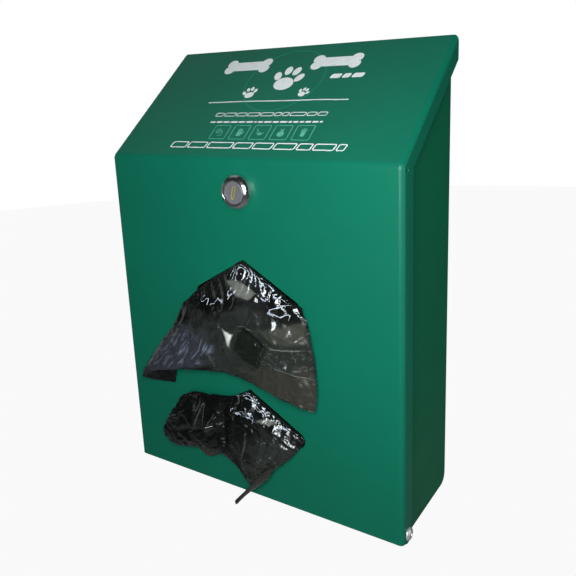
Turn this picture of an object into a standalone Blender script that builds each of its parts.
"""Wall-mounted dispenser of dog waste bags: a folded sheet cover hinged on a folded sheet housing, a cam lock,
and two rolls of bags on lift-out spindles. Metres, +Z up, +Y towards the wall. The origin is the centre of the
back mounting face."""

import math

import bmesh
import bpy
from mathutils import Matrix, Vector

MM = 0.001

# Fits
TOUCH = 0.3 * MM            # gap between pieces that rest on each other
SLIP = 0.3 * MM             # radial clearance round a shank, pin or barrel

# Fineness of curves
FOLD_SEGMENTS = 8           # flats across a fold
CORNER_STEPS = 12           # chords in a rounded corner or an end of a slot
DOME = [(1.0, 0.0), (0.98, 0.35), (0.82, 0.72), (0.56, 1.0)]    # shares of a domed head's radius and height
FLARE = [(1.0, 0.25), (0.965, 0.55), (0.9, 0.8)]                # the same for the lock's bezel

# Bag rolls and the room round them; these set the depth and the height of the box
ROLL_DIAMETER = 68.0 * MM
ROLL_LENGTH = 102.0 * MM
CORE_DIAMETER = 28.0 * MM
CORE_WALL = 1.5 * MM
CORE_OVERHANG = 1.0 * MM    # core past each end of the film
ROLL_FRONT_GAP = 5.0 * MM   # roll to front panel
ROLL_BACK_GAP = 4.0 * MM    # roll to back panel
ROLL_FLOOR_GAP = 38.5 * MM  # lower roll to bottom panel
ROLL_TO_ROLL_GAP = 17.7 * MM
LOCK_ABOVE_ROLL = 13.0 * MM # top of the upper roll to the lock's axis
LOCK_BELOW_BEND = 19.0 * MM # lock's axis to the bend under the sloping top

# Sheet metal
SHEET = 2.0 * MM
COVER_WIDTH = 209.5 * MM
COVER_LIFT = 4.0 * MM       # cover's lower edge above the housing's
SLANT_ANGLE = math.radians(39.3)
BEND_RADIUS = 3.0 * MM      # outside of a bend
FLANGE_DEPTH = 13.4 * MM
SLANT_FLANGE_DEPTH = 11.0 * MM
RELIEF_WIDTH = 1.0 * MM     # slit that frees the two flanges at the bend
RELIEF_LENGTH = 3.5 * MM
WALL_GAP = 0.5 * MM         # cover's rear edge to the wall
SIDE_GAP = 2.5 * MM         # cover flange to housing side
FRONT_GAP = 0.5 * MM        # front panel to the housing's front edges
TOP_GAP = 2.5 * MM          # sloping top to the housing's top edges
REAR_CORNER_RADIUS = 7.0 * MM
MOUNTING_HOLE_DIAMETER = 8.0 * MM
UPPER_MOUNTING_HOLE_DROP = 34.0 * MM    # below the back panel's top edge
LOWER_MOUNTING_HOLE_RISE = 20.0 * MM    # above the bottom panel

# Bag slots
SLOT_WIDTH = 11.0 * MM
SLOT_HALF_SPAN = 37.0 * MM  # middle to the end of the upper edge
SLOT_ANGLE = math.radians(30.0)
SLOT_PEAK_ABOVE_ROLL = 5.0 * MM         # above the roll's axis

# Hinge
HINGE_INSET = 5.2 * MM      # pivot behind the front panel's inner face
HINGE_RISE = 8.6 * MM       # pivot above the housing's bottom
HINGE_TAB_DROP = 3.5 * MM   # housing side below the pivot, inside the cover's sweep
HINGE_SWEEP_GAP = 0.5 * MM
RIVET_DIAMETER = 4.8 * MM
RIVET_HEAD_DIAMETER = 8.0 * MM
RIVET_HEAD_HEIGHT = 1.8 * MM
RIVET_TAIL_DIAMETER = 7.4 * MM
RIVET_TAIL_HEIGHT = 2.4 * MM
RIVET_TAIL_BEVEL = 0.8 * MM
RIVET_RECESS_DIAMETER = 2.6 * MM
RIVET_RECESS_DEPTH = 1.0 * MM
HINGE_WASHER_RIM = 1.8 * MM
BACKUP_WASHER_RIM = 1.9 * MM
BACKUP_WASHER_THICKNESS = 1.0 * MM

# Cam lock
BARREL_DIAMETER = 19.0 * MM
BARREL_LENGTH = 17.6 * MM   # behind the panel's outer face
BARREL_FLAT = 1.4 * MM      # depth of the two flats
BEZEL_RIM = 1.4 * MM        # bezel past the barrel
BEZEL_HEIGHT = 6.0 * MM
BEZEL_LAND = 0.7 * MM       # flat ring round the plug face
PLUG_DIAMETER = 13.0 * MM
PLUG_FACE_DIAMETER = 16.4 * MM
PLUG_FACE_THICKNESS = 2.0 * MM
PLUG_FACE_SINK = 0.5 * MM   # plug face behind the bezel's front
KEYWAY_LENGTH = 8.6 * MM
KEYWAY_WIDTH = 1.9 * MM
KEYWAY_DEPTH = 7.0 * MM
KEYWAY_TILT = math.radians(15.0)
NUT_RIM = 2.6 * MM
NUT_THICKNESS = 4.0 * MM
CAM_REACH = 27.0 * MM       # axis to tip
CAM_WIDTH = 13.0 * MM
CAM_THICKNESS = 2.5 * MM
CAM_POST_DIAMETER = 9.0 * MM
CAM_POST_FLATS = 6.4 * MM   # across the flats that turn the cam
CAM_SCREW_DIAMETER = 4.0 * MM
CAM_SCREW_DEPTH = 7.0 * MM
CAM_SCREW_HEAD_DIAMETER = 9.5 * MM
CAM_SCREW_HEAD_HEIGHT = 2.6 * MM
CAM_SCREW_BEVEL = 0.8 * MM
STRIKE_GAP = 1.5 * MM       # strike to cam
STRIKE_ABOVE_BARREL = 4.5 * MM
STRIKE_HEIGHT = 12.0 * MM
STRIKE_TAB_DEPTH = 12.0 * MM

# Spindles and their brackets
ROD_DIAMETER = 8.0 * MM
CAP_DIAMETER = 14.0 * MM
CAP_LENGTH = 6.0 * MM
CAP_SIDE_GAP = 1.0 * MM
BRACKET_SHEET = 1.5 * MM
BRACKET_SIDE_GAP = 3.0 * MM # core end to bracket arm
BRACKET_TIP = 9.0 * MM      # arm in front of the rod's axis
ARM_GUSSET = 10.0 * MM
NOTCH_SLACK = 0.4 * MM
NOTCH_DEPTH = 4.0 * MM      # arm above the rod's axis
ARM_TIP_DROP = 10.0 * MM
ARM_ROOT_DROP = 20.0 * MM
WEB_RISE = 26.0 * MM        # web above the rod's axis
STUD_RISE = 18.0 * MM       # studs above the rod's axis
STUD_SPREAD = 60.0 * MM
STUD_DIAMETER = 4.0 * MM
STUD_HEAD_DIAMETER = 7.5 * MM
STUD_HEAD_THICKNESS = 1.0 * MM
STUD_STICK_OUT = 1.0 * MM   # past its nut
STUD_NUT_RIM = 1.7 * MM
STUD_NUT_THICKNESS = 3.0 * MM

# Hanging bags
FILM = 1.0 * MM             # a crumpled layer of film, taken as solid
FILM_GAP = 0.6 * MM         # to the slot's upper edge
FILM_HALF_WIDTH = 33.0 * MM # in the slot
FILM_ROLL_GAP = 1.4 * MM
BAG_LIP = 5.5 * MM          # film runs this far out of the slot before it drops
BAG_STAND_OUT = 3.5 * MM    # hem past the lip
# Hem of each bag from left to right, in millimetres: across from the middle, and down from the slot's peak
BAG_HEMS = {
    "upper": [(-84, 86), (-57, 82), (-34, 75), (-10, 72), (14, 73), (36, 78), (51, 84)],
    "lower": [(-64, 40), (-50, 50), (-32, 52), (-16, 50), (-4, 68), (16, 50), (40, 30)],
}
BAG_FALL = (0.15, 0.4, 0.7, 1.0)        # rows of the outer bag, as shares of the way from lip to hem

# Worked out from the sizes above
DEPTH = SHEET + ROLL_FRONT_GAP + ROLL_DIAMETER + ROLL_BACK_GAP + SHEET
FRONT = -DEPTH
INNER_FRONT = FRONT + SHEET
ROLL_Y = INNER_FRONT + ROLL_FRONT_GAP + ROLL_DIAMETER / 2
LOWER_ROLL_RISE = SHEET + ROLL_FLOOR_GAP + ROLL_DIAMETER / 2
UPPER_ROLL_RISE = LOWER_ROLL_RISE + ROLL_DIAMETER + ROLL_TO_ROLL_GAP
LOCK_RISE = UPPER_ROLL_RISE + ROLL_DIAMETER / 2 + LOCK_ABOVE_ROLL
BEND_RISE = LOCK_RISE + LOCK_BELOW_BEND
SLOPE = math.tan(SLANT_ANGLE)
STEEPNESS = 1.0 / math.cos(SLANT_ANGLE)
HOUSING_TOP_DROP = (SHEET + TOP_GAP) * STEEPNESS
BACK_HEIGHT = BEND_RISE + (DEPTH - SHEET) * SLOPE - HOUSING_TOP_DROP
BOTTOM = -BACK_HEIGHT / 2
HALF_COVER = COVER_WIDTH / 2
HALF_INSIDE_COVER = HALF_COVER - SHEET
HALF_HOUSING = HALF_INSIDE_COVER - SIDE_GAP
HALF_CAVITY = HALF_HOUSING - SHEET
PIVOT = Vector((0.0, INNER_FRONT + HINGE_INSET, BOTTOM + HINGE_RISE))
LOCK_AXIS = Vector((0.0, FRONT, BOTTOM + LOCK_RISE))
ROLL_RISES = {"upper": UPPER_ROLL_RISE, "lower": LOWER_ROLL_RISE}
ROD_ABOVE_ROLL = CORE_DIAMETER / 2 - CORE_WALL - TOUCH - ROD_DIAMETER / 2
CORE_HALF_LENGTH = ROLL_LENGTH / 2 + CORE_OVERHANG
ARM_INSIDE = CORE_HALF_LENGTH + BRACKET_SIDE_GAP
ARM_OUTSIDE = ARM_INSIDE + BRACKET_SHEET
WEB_BACK = -SHEET - TOUCH
WEB_FRONT = WEB_BACK - BRACKET_SHEET
SIDES = {"left": -1, "right": 1}


# --- Modelling tools ----------------------------------------------------------------------------------------

def material(name, color, metallic, roughness):
    """A Principled material of one colour."""
    result = bpy.data.materials.new(name)
    result.use_nodes = True
    shader = result.node_tree.nodes["Principled BSDF"]
    shader.inputs["Base Color"].default_value = (*color, 1.0)
    shader.inputs["Metallic"].default_value = metallic
    shader.inputs["Roughness"].default_value = roughness
    return result


def world_place(obj):
    """Where an unrotated object's origin lies, summed up its parents."""
    place = Vector((0.0, 0.0, 0.0))
    while obj is not None:
        place += obj.location
        obj = obj.parent
    return place


def joint_frame(name, location, parent=None):
    """An empty on a joint's axis, which the pieces of one moving body hang from."""
    empty = bpy.data.objects.new(name, None)
    bpy.context.scene.collection.objects.link(empty)
    empty.parent = parent
    empty.location = Vector(location) - world_place(parent)
    return empty


def add_part(name, bm, finish, parent=None):
    """Turn a bmesh in world coordinates into an object whose origin is its parent's."""
    start = world_place(parent)
    bmesh.ops.translate(bm, verts=bm.verts, vec=-start)
    mesh = bpy.data.meshes.new(name)
    bm.to_mesh(mesh)
    bm.free()
    mesh.materials.append(finish)
    mesh.shade_smooth()
    mesh.set_sharp_from_angle(angle=math.radians(35.0))
    obj = bpy.data.objects.new(name, mesh)
    bpy.context.scene.collection.objects.link(obj)
    obj.parent = parent
    return obj


def cut(obj, name, bm):
    """Cut a shape, given in world coordinates, out of an object."""
    cutter = add_part(name, bm, obj.data.materials[0], obj)
    cutter.hide_render = True
    cutter.display_type = "WIRE"
    boolean = obj.modifiers.new(name, "BOOLEAN")
    boolean.operation = "DIFFERENCE"
    boolean.object = cutter


def prism(outline, low, high, axis="X"):
    """Extrude an outline along an axis. Its points are the other two coordinates, in X, Y, Z order."""
    def point(pair, along):
        coordinates = list(pair)
        coordinates.insert("XYZ".index(axis), along)
        return coordinates

    bm = bmesh.new()
    face = bm.faces.new([bm.verts.new(point(pair, low)) for pair in outline])
    grown = bmesh.ops.extrude_face_region(bm, geom=[face])
    raised = [item for item in grown["geom"] if isinstance(item, bmesh.types.BMVert)]
    bmesh.ops.translate(bm, verts=raised, vec=point((0.0, 0.0), high - low))
    bmesh.ops.recalc_face_normals(bm, faces=bm.faces)
    return bm


def box(low, high):
    """A block between two corners."""
    outline = [(low[1], low[2]), (high[1], low[2]), (high[1], high[2]), (low[1], high[2])]
    return prism(outline, low[0], high[0])


def turned(profile, centre, axis, steps=32):
    """Turn a closed profile of (radius, distance along the axis) points about an axis through a centre."""
    bm = bmesh.new()
    rings = []
    for radius, along in profile:
        if radius == 0.0:
            rings.append([bm.verts.new((0.0, 0.0, along))] * steps)
            continue
        angles = [2 * math.pi * step / steps for step in range(steps)]
        rings.append([bm.verts.new((radius * math.cos(a), radius * math.sin(a), along)) for a in angles])
    for ring, following in zip(rings, rings[1:] + rings[:1]):
        for step in range(steps):
            after = (step + 1) % steps
            corners = dict.fromkeys([ring[step], ring[after], following[after], following[step]])
            if len(corners) > 2:
                bm.faces.new(list(corners))
    turn = Vector((0.0, 0.0, 1.0)).rotation_difference(Vector(axis)).to_matrix().to_4x4()
    bmesh.ops.transform(bm, matrix=Matrix.Translation(centre) @ turn, verts=bm.verts)
    bmesh.ops.recalc_face_normals(bm, faces=bm.faces)
    return bm


def bar(radius, start, end):
    """Profile of a solid round bar between two distances along its axis."""
    return [(0.0, start), (radius, start), (radius, end), (0.0, end)]


def tube(inner, outer, start, end):
    """Profile of a tube or a washer between two distances along its axis."""
    return [(inner, start), (outer, start), (outer, end), (inner, end)]


def arc(centre, radius, first, last, steps):
    """Points along an arc between two angles in degrees."""
    angles = [math.radians(first + (last - first) * step / steps) for step in range(steps + 1)]
    return [(centre[0] + radius * math.cos(a), centre[1] + radius * math.sin(a)) for a in angles]


def double_d(radius, half_flats, centre):
    """Outline of a round with two flats, at its left and right."""
    corner = math.degrees(math.acos(half_flats / radius))
    return (arc(centre, radius, corner, 180.0 - corner, 8)
            + arc(centre, radius, 180.0 + corner, 360.0 - corner, 8))


# --- Housing and cover --------------------------------------------------------------------------------------

def slant_height(y, drop=0.0):
    """Height of the sloping top's outer face at a depth, or of the line a given distance under it."""
    return BOTTOM + BEND_RISE + (y - FRONT) * SLOPE - drop * STEEPNESS


def fold(bm, inset, half_width, radius):
    """Round the folds of a cover-shaped block: its two sides and the bend across it."""
    def on_skin(vert):
        flush = abs(vert.co.y - FRONT - inset) < TOUCH
        return flush or abs(vert.co.z - slant_height(vert.co.y, inset)) < TOUCH

    def folded(edge):
        first, second = edge.verts
        if not (on_skin(first) and on_skin(second)):
            return False
        along_side = abs(first.co.x - second.co.x) < half_width
        bend = slant_height(FRONT + inset, inset)
        return along_side or abs(first.co.z - bend) < TOUCH

    bmesh.ops.bevel(bm, geom=[edge for edge in bm.edges if folded(edge)], offset=radius,
                    segments=FOLD_SEGMENTS, profile=0.5, affect="EDGES")
    return bm


def cover_outline():
    """Side outline of the cover's flanges, with a round foot about the hinge."""
    foot_radius = FRONT + FLANGE_DEPTH - PIVOT.y
    lower_edge = BOTTOM + COVER_LIFT
    foot_start = 180.0 + math.degrees(math.asin((PIVOT.z - lower_edge) / foot_radius))
    rear = -WALL_GAP
    inner_corner = FRONT + FLANGE_DEPTH
    return ([(FRONT, lower_edge)]
            + arc((PIVOT.y, PIVOT.z), foot_radius, foot_start, 360.0, CORNER_STEPS)
            + [(inner_corner, slant_height(inner_corner, SLANT_FLANGE_DEPTH)),
               (rear, slant_height(rear, SLANT_FLANGE_DEPTH)),
               (rear, slant_height(rear)),
               (FRONT, slant_height(FRONT))])


def cover_hollow():
    """The space that the cover is folded round."""
    far = DEPTH
    outline = [(INNER_FRONT, BOTTOM - far),
               (far, BOTTOM - far),
               (far, slant_height(far, SHEET)),
               (INNER_FRONT, slant_height(INNER_FRONT, SHEET))]
    return prism(outline, -HALF_INSIDE_COVER, HALF_INSIDE_COVER)


def chevron(x, roll_rise):
    """Height of a bag slot's upper edge."""
    return BOTTOM + roll_rise + SLOT_PEAK_ABOVE_ROLL - abs(x) * math.tan(SLOT_ANGLE)


def slot_outline(roll_rise):
    """Outline of an inverted V slot with round ends."""
    half_width = SLOT_WIDTH / 2
    lean = Vector((math.sin(SLOT_ANGLE), math.cos(SLOT_ANGLE))) * half_width
    end_height = chevron(SLOT_HALF_SPAN, roll_rise)
    right = (SLOT_HALF_SPAN - lean.x, end_height - lean.y)
    left = (-right[0], right[1])
    degrees = math.degrees(SLOT_ANGLE)
    peak = chevron(0.0, roll_rise)
    return ([(0.0, peak)]
            + arc(right, half_width, 90.0 - degrees, -90.0 - degrees, CORNER_STEPS)
            + [(0.0, peak - SLOT_WIDTH / math.cos(SLOT_ANGLE))]
            + arc(left, half_width, 270.0 + degrees, 90.0 + degrees, CORNER_STEPS))


def hinge_hole(reach):
    """A pin-sized cutter along the hinge's axis."""
    return turned(bar(RIVET_DIAMETER / 2 + SLIP, -reach, reach), PIVOT, (1.0, 0.0, 0.0), 24)


def front_cover(finish, parent):
    """The folded cover: front panel, sloping top and side flanges in one sheet."""
    blank = prism(cover_outline(), -HALF_COVER, HALF_COVER)
    cover = add_part("front_cover", fold(blank, 0.0, HALF_COVER, BEND_RADIUS), finish, parent)
    for name, rise in ROLL_RISES.items():
        cut(cover, f"cut_{name}_slot", prism(slot_outline(rise), FRONT - SHEET, INNER_FRONT + SHEET, "Y"))
    hole = double_d(BARREL_DIAMETER / 2 + SLIP, BARREL_DIAMETER / 2 - BARREL_FLAT + SLIP,
                    (LOCK_AXIS.x, LOCK_AXIS.z))
    cut(cover, "cut_lock_hole", prism(hole, FRONT - SHEET, INNER_FRONT + SHEET, "Y"))
    cut(cover, "cut_cover_hinge", hinge_hole(COVER_WIDTH))
    relief_front = FRONT + BEND_RADIUS
    relief_top = slant_height(relief_front, BEND_RADIUS + RELIEF_WIDTH)
    for name, side in SIDES.items():
        inside, outside = sorted((side * (HALF_INSIDE_COVER - SHEET / 2), side * COVER_WIDTH))
        cut(cover, f"cut_relief_{name}", box((inside, relief_front, relief_top - RELIEF_WIDTH),
                                             (outside, relief_front + RELIEF_LENGTH, relief_top)))
    hollow = fold(cover_hollow(), SHEET, HALF_INSIDE_COVER, BEND_RADIUS - SHEET)
    cut(cover, "cut_cover_hollow", hollow)


def housing_outline():
    """Side outline of the housing, cut back round the hinge where the cover's lower edge sweeps."""
    front = INNER_FRONT + FRONT_GAP
    tab_radius = PIVOT.y - front
    tab_end = 180.0 + math.degrees(math.asin(HINGE_TAB_DROP / tab_radius))
    sweep = math.hypot(PIVOT.y - FRONT, PIVOT.z - BOTTOM - COVER_LIFT) + HINGE_SWEEP_GAP
    corner = REAR_CORNER_RADIUS
    top = BOTTOM + BACK_HEIGHT
    return ([(PIVOT.y + sweep, BOTTOM)]
            + arc((-corner, BOTTOM + corner), corner, 270.0, 360.0, CORNER_STEPS)
            + [(0.0, top), (-SHEET, top), (front, slant_height(front, SHEET + TOP_GAP))]
            + arc((PIVOT.y, PIVOT.z), tab_radius, 180.0, tab_end, 4)
            + [(PIVOT.y + sweep, PIVOT.z - HINGE_TAB_DROP)])


def housing_hollow():
    """The space inside the housing, open at the front and the top."""
    corner = REAR_CORNER_RADIUS - SHEET
    far = DEPTH + BACK_HEIGHT
    outline = ([(-far, BOTTOM + SHEET)]
               + arc((-SHEET - corner, BOTTOM + SHEET + corner), corner, 270.0, 360.0, CORNER_STEPS)
               + [(-SHEET, far), (-far, far)])
    return prism(outline, -HALF_CAVITY, HALF_CAVITY)


def stud_places(rise):
    """Left and right stud axes of the roll bracket whose roll's axis is at a given rise."""
    height = BOTTOM + rise + ROD_ABOVE_ROLL + STUD_RISE
    return {side: Vector((sign * STUD_SPREAD / 2, 0.0, height)) for side, sign in SIDES.items()}


def back_housing(finish):
    """The folded tray that goes on the wall: back, bottom and sides."""
    housing = add_part("back_housing", prism(housing_outline(), -HALF_HOUSING, HALF_HOUSING), finish)
    cut(housing, "cut_housing_hollow", housing_hollow())
    cut(housing, "cut_housing_hinge", hinge_hole(COVER_WIDTH))
    holes = {"upper": BOTTOM + BACK_HEIGHT - UPPER_MOUNTING_HOLE_DROP,
             "lower": BOTTOM + SHEET + LOWER_MOUNTING_HOLE_RISE}
    for name, height in holes.items():
        hole = bar(MOUNTING_HOLE_DIAMETER / 2, -2 * SHEET, SHEET)
        cut(housing, f"cut_{name}_mounting_hole", turned(hole, (0.0, 0.0, height), (0.0, 1.0, 0.0), 24))
    shank = STUD_DIAMETER / 2 + SLIP
    head = STUD_HEAD_DIAMETER / 2 + SLIP
    head_seat = -2 * TOUCH - STUD_HEAD_THICKNESS
    seat = [(0.0, -2 * SHEET), (shank, -2 * SHEET), (shank, head_seat), (head, head_seat),
            (head, SHEET), (0.0, SHEET)]
    for name, rise in ROLL_RISES.items():
        for side, place in stud_places(rise).items():
            cut(housing, f"cut_{name}_stud_{side}", turned(seat, place, (0.0, 1.0, 0.0), 20))


def strike_bar(finish):
    """The cross bar that the cam turns behind, welded to the sides by its end tabs."""
    back = LOCK_AXIS.y + BARREL_LENGTH + TOUCH - STRIKE_GAP
    front = back - SHEET
    half = HALF_CAVITY - TOUCH
    rear = front + STRIKE_TAB_DEPTH
    low = LOCK_AXIS.z + BARREL_DIAMETER / 2 + STRIKE_ABOVE_BARREL
    outline = [(-half, front), (half, front), (half, rear), (half - SHEET, rear), (half - SHEET, back),
               (SHEET - half, back), (SHEET - half, rear), (-half, rear)]
    add_part("strike_bar", prism(outline, low, low + STRIKE_HEIGHT, "Z"), finish)


# --- Hinge --------------------------------------------------------------------------------------------------

def hinge(finishes):
    """Two rivets that the cover swings on, with their washers."""
    shank = RIVET_DIAMETER / 2
    head = RIVET_HEAD_DIAMETER / 2
    tail = RIVET_TAIL_DIAMETER / 2
    recess = RIVET_RECESS_DIAMETER / 2
    head_start = HALF_COVER + TOUCH
    head_end = head_start + RIVET_HEAD_HEIGHT
    washer_end = HALF_CAVITY - TOUCH
    tail_start = washer_end - BACKUP_WASHER_THICKNESS - TOUCH
    tail_end = tail_start - RIVET_TAIL_HEIGHT
    rivet = [(0.0, tail_end), (tail - RIVET_TAIL_BEVEL, tail_end), (tail, tail_end + RIVET_TAIL_BEVEL),
             (tail, tail_start), (shank, tail_start), (shank, head_start)]
    rivet += [(head * width, head_start + RIVET_HEAD_HEIGHT * height) for width, height in DOME]
    rivet += [(recess, head_end), (recess, head_end - RIVET_RECESS_DEPTH), (0.0, head_end - RIVET_RECESS_DEPTH)]
    bore = shank + SLIP
    spacer = tube(bore, bore + HINGE_WASHER_RIM, HALF_HOUSING + TOUCH, HALF_INSIDE_COVER - TOUCH)
    backup = tube(bore, bore + BACKUP_WASHER_RIM, washer_end - BACKUP_WASHER_THICKNESS, washer_end)
    for name, side in SIDES.items():
        axis = (side, 0.0, 0.0)
        add_part(f"hinge_rivet_{name}", turned(rivet, PIVOT, axis), finishes["steel"])
        add_part(f"hinge_washer_{name}", turned(spacer, PIVOT, axis), finishes["nylon"])
        add_part(f"backup_washer_{name}", turned(backup, PIVOT, axis), finishes["steel"])


# --- Cam lock -----------------------------------------------------------------------------------------------

def hex_nut(name, bore, rim, start, end, place, finish, parent=None):
    """A hexagonal nut round an axis along Y, from one distance to another."""
    corner = (bore + rim) / math.cos(math.radians(30.0))
    nut = add_part(name, turned(bar(corner, start, end), place, (0.0, 1.0, 0.0), 6), finish, parent)
    hole = bar(bore, start - rim, end + rim)
    cut(nut, f"cut_{name}", turned(hole, place, (0.0, 1.0, 0.0), 24))


def lock_body(finish, parent):
    """The bezel and the flatted barrel that the plug turns in."""
    barrel = BARREL_DIAMETER / 2
    bezel = barrel + BEZEL_RIM
    bore = PLUG_DIAMETER / 2 + SLIP
    face_bore = PLUG_FACE_DIAMETER / 2 + SLIP
    face_seat = PLUG_FACE_SINK + PLUG_FACE_THICKNESS + TOUCH - BEZEL_HEIGHT
    profile = [(barrel, BARREL_LENGTH), (barrel, -TOUCH), (bezel, -TOUCH)]
    profile += [(bezel * width, -BEZEL_HEIGHT * height) for width, height in FLARE]
    profile += [(face_bore + BEZEL_LAND, -BEZEL_HEIGHT), (face_bore, -BEZEL_HEIGHT), (face_bore, face_seat),
                (bore, face_seat), (bore, BARREL_LENGTH)]
    body = add_part("lock_body", turned(profile, LOCK_AXIS, (0.0, 1.0, 0.0), 40), finish, parent)
    flat = barrel - BARREL_FLAT
    for name, side in SIDES.items():
        near, far = sorted((side * flat, side * 2 * barrel))
        cut(body, f"cut_barrel_flat_{name}", box((near, FRONT, LOCK_AXIS.z - 2 * barrel),
                                                 (far, FRONT + 2 * BARREL_LENGTH, LOCK_AXIS.z + 2 * barrel)))


def lock_plug(finish, parent):
    """The plug: face, keyway, cylinder and the flatted post that carries the cam."""
    face = PLUG_FACE_DIAMETER / 2
    core = PLUG_DIAMETER / 2
    post = CAM_POST_DIAMETER / 2
    front = PLUG_FACE_SINK - BEZEL_HEIGHT
    post_end = BARREL_LENGTH + CAM_THICKNESS
    profile = [(0.0, front), (face, front), (face, front + PLUG_FACE_THICKNESS),
               (core, front + PLUG_FACE_THICKNESS), (core, BARREL_LENGTH), (post, BARREL_LENGTH),
               (post, post_end), (0.0, post_end)]
    plug = add_part("lock_plug", turned(profile, LOCK_AXIS, (0.0, 1.0, 0.0)), finish, parent)
    flat = CAM_POST_FLATS / 2
    for name, side in SIDES.items():
        near, far = sorted((side * flat, side * 2 * post))
        cut(plug, f"cut_post_flat_{name}", box((near, FRONT + BARREL_LENGTH, LOCK_AXIS.z - 2 * post),
                                               (far, FRONT + 2 * post_end, LOCK_AXIS.z + 2 * post)))
    keyway = box((-KEYWAY_WIDTH / 2, front - KEYWAY_DEPTH, -KEYWAY_LENGTH / 2),
                 (KEYWAY_WIDTH / 2, front + KEYWAY_DEPTH, KEYWAY_LENGTH / 2))
    tilt = Matrix.Translation(LOCK_AXIS) @ Matrix.Rotation(KEYWAY_TILT, 4, "Y")
    bmesh.ops.transform(keyway, matrix=tilt, verts=keyway.verts)
    cut(plug, "cut_keyway", keyway)
    tapping = bar(CAM_SCREW_DIAMETER / 2 + SLIP, post_end - CAM_SCREW_DEPTH - TOUCH, 2 * post_end)
    cut(plug, "cut_cam_screw_hole", turned(tapping, LOCK_AXIS, (0.0, 1.0, 0.0), 20))


def lock_cam(finish, parent):
    """The cam, unlocked and pointing left."""
    half = CAM_WIDTH / 2
    place = (LOCK_AXIS.x, LOCK_AXIS.z)
    tip = (LOCK_AXIS.x - CAM_REACH + half, LOCK_AXIS.z)
    outline = arc(place, half, -90.0, 90.0, 10) + arc(tip, half, 90.0, 270.0, 10)
    front = FRONT + BARREL_LENGTH + TOUCH
    cam = add_part("lock_cam", prism(outline, front, front + CAM_THICKNESS, "Y"), finish, parent)
    hole = double_d(CAM_POST_DIAMETER / 2 + SLIP, CAM_POST_FLATS / 2 + SLIP, place)
    cut(cam, "cut_cam_hole", prism(hole, front - SHEET, front + CAM_THICKNESS + SHEET, "Y"))


def cam_screw(finish, parent):
    """The screw that holds the cam on its post."""
    shank = CAM_SCREW_DIAMETER / 2
    head = CAM_SCREW_HEAD_DIAMETER / 2
    head_start = BARREL_LENGTH + TOUCH + CAM_THICKNESS + TOUCH
    end = head_start + CAM_SCREW_HEAD_HEIGHT
    tip = BARREL_LENGTH + CAM_THICKNESS - CAM_SCREW_DEPTH
    profile = [(0.0, tip), (shank, tip), (shank, head_start), (head, head_start),
               (head, end - CAM_SCREW_BEVEL), (head - CAM_SCREW_BEVEL, end), (0.0, end)]
    add_part("cam_screw", turned(profile, LOCK_AXIS, (0.0, 1.0, 0.0), 24), finish, parent)


# --- Spindles and brackets ----------------------------------------------------------------------------------

def bracket_outline(axis):
    """Side outline of a roll bracket round its rod's axis, with an open-top notch."""
    y, z = axis
    notch = ROD_DIAMETER / 2 + NOTCH_SLACK
    top = z + NOTCH_DEPTH
    notch_centre = z - ROD_DIAMETER / 2 - TOUCH + notch
    return ([(y - BRACKET_TIP, top), (y - BRACKET_TIP, z - ARM_TIP_DROP),
             (WEB_FRONT, z - ARM_ROOT_DROP), (WEB_BACK, z - ARM_ROOT_DROP),
             (WEB_BACK, z + WEB_RISE), (WEB_FRONT, z + WEB_RISE),
             (WEB_FRONT, top + ARM_GUSSET), (WEB_FRONT - ARM_GUSSET, top), (y + notch, top)]
            + arc((y, notch_centre), notch, 0.0, -180.0, 10)
            + [(y - notch, top)])


def roll_bracket(name, rise, finish):
    """A U bracket: a web on the back panel and two notched arms."""
    rod_height = BOTTOM + rise + ROD_ABOVE_ROLL
    outline = bracket_outline((ROLL_Y, rod_height))
    bracket = add_part(f"{name}_roll_bracket", prism(outline, -ARM_OUTSIDE, ARM_OUTSIDE), finish)
    reach = DEPTH + BACK_HEIGHT
    cut(bracket, f"cut_{name}_bracket", box((-ARM_INSIDE, -reach, -reach), (ARM_INSIDE, WEB_FRONT, reach)))
    hole = bar(STUD_DIAMETER / 2 + SLIP, WEB_FRONT - SHEET, 0.0)
    for side, place in stud_places(rise).items():
        cut(bracket, f"cut_{name}_bracket_{side}", turned(hole, place, (0.0, 1.0, 0.0), 20))


def bracket_fasteners(name, rise, finish):
    """Flush studs through the back panel, and their nuts."""
    shank = STUD_DIAMETER / 2
    head = STUD_HEAD_DIAMETER / 2
    head_front = -TOUCH - STUD_HEAD_THICKNESS
    nut_back = WEB_FRONT - TOUCH
    nut_front = nut_back - STUD_NUT_THICKNESS
    tip = nut_front - STUD_STICK_OUT
    stud = [(0.0, tip), (shank, tip), (shank, head_front), (head, head_front), (head, -TOUCH), (0.0, -TOUCH)]
    for side, place in stud_places(rise).items():
        add_part(f"{name}_stud_{side}", turned(stud, place, (0.0, 1.0, 0.0), 20), finish)
        hex_nut(f"{name}_stud_nut_{side}", shank + SLIP, STUD_NUT_RIM, nut_front, nut_back, place, finish)


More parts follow.
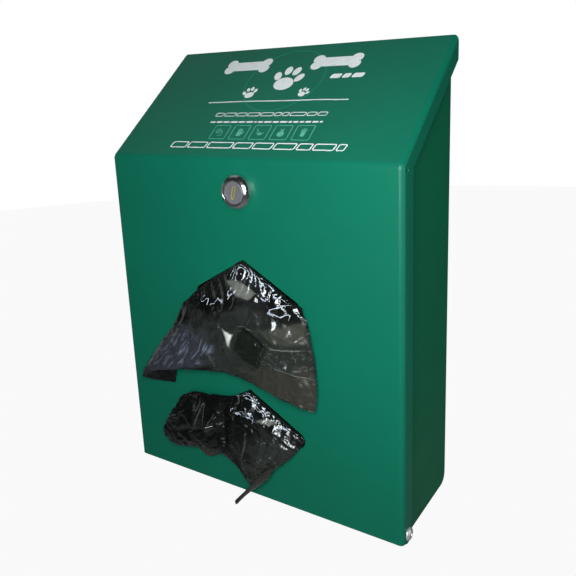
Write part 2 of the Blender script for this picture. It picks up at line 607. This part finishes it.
def spindle(name, frame, finishes):
    """A steel rod that rests in the notches, with a plastic cap on each end."""
    centre = world_place(frame)
    cap_start = ARM_OUTSIDE + CAP_SIDE_GAP
    cap_end = cap_start + CAP_LENGTH
    rod_end = cap_end - BRACKET_SHEET
    rod = turned(bar(ROD_DIAMETER / 2, -rod_end, rod_end), centre, (1.0, 0.0, 0.0), 24)
    add_part(f"{name}_spindle_rod", rod, finishes["steel"], frame)
    bore = ROD_DIAMETER / 2 + SLIP
    rim = CAP_DIAMETER / 2
    chamfer = BRACKET_SHEET / 2
    end_wall = rod_end + TOUCH
    profile = [(bore, cap_start), (rim - chamfer, cap_start), (rim, cap_start + chamfer),
               (rim, cap_end - chamfer), (rim - chamfer, cap_end), (0.0, cap_end), (0.0, end_wall),
               (bore, end_wall)]
    for side, sign in SIDES.items():
        cap = turned(profile, centre, (sign, 0.0, 0.0), 24)
        add_part(f"{name}_spindle_cap_{side}", cap, finishes["nylon"], frame)


def bag_roll(name, frame, finishes):
    """A coil of bags on its cardboard core."""
    centre = world_place(frame)
    outside = CORE_DIAMETER / 2
    core = tube(outside - CORE_WALL, outside, -CORE_HALF_LENGTH, CORE_HALF_LENGTH)
    add_part(f"{name}_roll_core", turned(core, centre, (1.0, 0.0, 0.0), 40), finishes["card"], frame)
    coil = tube(outside + TOUCH, ROLL_DIAMETER / 2, -ROLL_LENGTH / 2, ROLL_LENGTH / 2)
    add_part(f"{name}_bag_roll", turned(coil, centre, (1.0, 0.0, 0.0), 56), finishes["film"], frame)


# --- Hanging bags -------------------------------------------------------------------------------------------

def hanging_bag(name, rise, hem, finish, parent):
    """Film from in front of the roll, out through the slot under its upper edge, and down to a ragged hem."""
    columns = [2.0 * step / (len(hem) - 1) - 1.0 for step in range(len(hem))]
    roll_front = ROLL_Y - ROLL_DIAMETER / 2 - FILM_ROLL_GAP - FILM / 2
    clear = FILM_GAP + FILM / 2

    def lip(x, y, drop):
        return Vector((x, y, chevron(x, rise) - clear - drop))

    rows = [[Vector((FILM_HALF_WIDTH * u, roll_front, BOTTOM + rise + SLOT_PEAK_ABOVE_ROLL + FILM_GAP))
             for u in columns],
            [lip(FILM_HALF_WIDTH * u, INNER_FRONT + clear + FILM_GAP, FILM_GAP) for u in columns],
            [lip(FILM_HALF_WIDTH * u, FRONT + SHEET / 2, FILM_GAP) for u in columns],
            [lip(FILM_HALF_WIDTH * u, FRONT - BAG_LIP, FILM) for u in columns]]
    peak = chevron(0.0, rise)
    for share in BAG_FALL:
        out = FRONT - BAG_LIP - BAG_STAND_OUT * math.sin(share * math.pi / 2)
        row = []
        for start, (x, drop) in zip(rows[3], hem):
            row.append(Vector((start.x + (x * MM - start.x) * share, out,
                               start.z + (peak - drop * MM - start.z) * share)))
        rows.append(row)
    bm = bmesh.new()
    grid = [[bm.verts.new(point) for point in row] for row in rows]
    for upper, lower in zip(grid, grid[1:]):
        for step in range(len(columns) - 1):
            bm.faces.new((upper[step], upper[step + 1], lower[step + 1], lower[step]))
    bmesh.ops.recalc_face_normals(bm, faces=bm.faces)
    bag = add_part(name, bm, finish, parent)
    thickness = bag.modifiers.new("film", "SOLIDIFY")
    thickness.thickness = FILM
    thickness.offset = 0.0


# --- Assembly -----------------------------------------------------------------------------------------------

def build():
    """Clear the scene and build every piece."""
    for obj in list(bpy.data.objects):
        bpy.data.objects.remove(obj, do_unlink=True)
    finishes = {
        "green": material("green_powder_coat", (0.010, 0.170, 0.092), 0.0, 0.35),
        "chrome": material("chrome", (0.75, 0.75, 0.76), 1.0, 0.12),
        "zinc": material("zinc_plate", (0.60, 0.60, 0.58), 1.0, 0.35),
        "steel": material("bright_steel", (0.62, 0.62, 0.63), 1.0, 0.28),
        "nylon": material("nylon", (0.70, 0.69, 0.64), 0.0, 0.50),
        "card": material("cardboard", (0.36, 0.24, 0.13), 0.0, 0.85),
        "film": material("black_film", (0.012, 0.013, 0.012), 0.0, 0.30),
    }
    back_housing(finishes["green"])
    strike_bar(finishes["zinc"])
    hinge(finishes)
    cover_frame = joint_frame("cover_hinge_axis", PIVOT)
    front_cover(finishes["green"], cover_frame)
    lock_body(finishes["chrome"], cover_frame)
    nut_start = SHEET + TOUCH
    hex_nut("lock_nut", BARREL_DIAMETER / 2 + SLIP, NUT_RIM, nut_start, nut_start + NUT_THICKNESS, LOCK_AXIS,
            finishes["zinc"], cover_frame)
    plug_frame = joint_frame("lock_axis", LOCK_AXIS, cover_frame)
    lock_plug(finishes["steel"], plug_frame)
    lock_cam(finishes["zinc"], plug_frame)
    cam_screw(finishes["zinc"], plug_frame)
    for name, rise in ROLL_RISES.items():
        roll_bracket(name, rise, finishes["zinc"])
        bracket_fasteners(name, rise, finishes["zinc"])
        rod_place = Vector((0.0, ROLL_Y, BOTTOM + rise + ROD_ABOVE_ROLL))
        rod_frame = joint_frame(f"{name}_spindle_axis", rod_place)
        spindle(name, rod_frame, finishes)
        roll_frame = joint_frame(f"{name}_roll_axis", (0.0, ROLL_Y, BOTTOM + rise), rod_frame)
        bag_roll(name, roll_frame, finishes)
        hanging_bag(f"{name}_hanging_bag", rise, BAG_HEMS[name], finishes["film"], cover_frame)


build()
